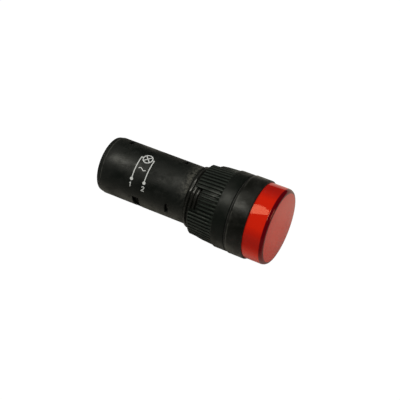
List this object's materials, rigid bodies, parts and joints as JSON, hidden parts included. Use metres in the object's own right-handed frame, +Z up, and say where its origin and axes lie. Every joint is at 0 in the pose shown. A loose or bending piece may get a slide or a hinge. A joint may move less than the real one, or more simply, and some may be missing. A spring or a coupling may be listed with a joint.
{
  "type": "panel pilot light",
  "caption": "Round panel pilot light: red flat-faced lens in a black bezel, threaded barrel with a ribbed nut, and a rear casing with screw terminals.",
  "frame": {"origin": "on the light's axis, in the plane of the panel that the gasket seals against", "axes": "+Y along the axis from the lens to the terminals, +Z up, +X to the right seen from the front"},
  "size_m": [0.0198, 0.0466, 0.0198],
  "materials": {
    "red_lens": "gloss, translucent red",
    "diffuser_white": "frosted",
    "black_plastic": "semi-matte moulded black",
    "gasket_rubber": "matte",
    "nut_plastic": "semi-matte moulded black",
    "casing_plastic": "semi-matte moulded black with pale print",
    "block_plastic": "matte moulded",
    "light_board": "white solder resist",
    "driver_board": "green solder resist",
    "led_epoxy": "clear red epoxy",
    "tinned_pin": "tinned",
    "capacitor_ochre": "gloss",
    "black_epoxy": "matte",
    "can_sleeve": "gloss sleeve",
    "resistor_body": "matte lacquer",
    "terminal_brass": "satin",
    "zinc_steel": "zinc plated"
  },
  "bodies": {
    "light": {"bezel_barrel": "black_plastic", "lens": "red_lens", "panel_gasket": "gasket_rubber", "rear_casing": "casing_plastic", "terminal_block": "block_plastic", "terminal_plate_1": "terminal_brass", "terminal_plate_2": "terminal_brass", "diffuser": "diffuser_white", "led_board": "light_board", "led_1": "led_epoxy", "led_2": "led_epoxy", "led_3": "led_epoxy", "led_4": "led_epoxy", "driver_board": "driver_board", "board_pin_1": "tinned_pin", "board_pin_2": "tinned_pin", "film_capacitor": "capacitor_ochre", "bridge_rectifier": "black_epoxy", "smoothing_capacitor": "can_sleeve", "resistor_1": "resistor_body", "resistor_2": "resistor_body", "lead_wire_1": "tinned_pin", "lead_wire_2": "tinned_pin"},
    "nut": {"mounting_nut": "nut_plastic"},
    "clamp_1": {"wire_clamp_1": "zinc_steel"},
    "screw_1": {"terminal_screw_1": "zinc_steel"},
    "clamp_2": {"wire_clamp_2": "zinc_steel"},
    "screw_2": {"terminal_screw_2": "zinc_steel"}
  },
  "joints": [
    {"name": "nut_travel", "type": "slide", "parent": "light", "child": "nut", "axis": [0, 1, 0], "range_m": [0, 0.0368]},
    {"name": "clamp_1_lift", "type": "slide", "parent": "light", "child": "clamp_1", "axis": [0, 1, 0], "range_m": [0, 0.00135]},
    {"name": "screw_1_turn", "type": "hinge", "parent": "clamp_1", "child": "screw_1", "pos_m": [0.00335, 0.0302, 0], "axis": [0, 1, 0], "range_deg": [0, 1080]},
    {"name": "clamp_2_lift", "type": "slide", "parent": "light", "child": "clamp_2", "axis": [0, 1, 0], "range_m": [0, 0.00135]},
    {"name": "screw_2_turn", "type": "hinge", "parent": "clamp_2", "child": "screw_2", "pos_m": [-0.00335, 0.0302, 0], "axis": [0, 1, 0], "range_deg": [0, 1080]}
  ],
  "couplings": [
    {"joint": "screw_1_turn", "follows": "clamp_1_lift", "rad_per_m": 13963},
    {"joint": "screw_2_turn", "follows": "clamp_2_lift", "rad_per_m": 13963}
  ]
}
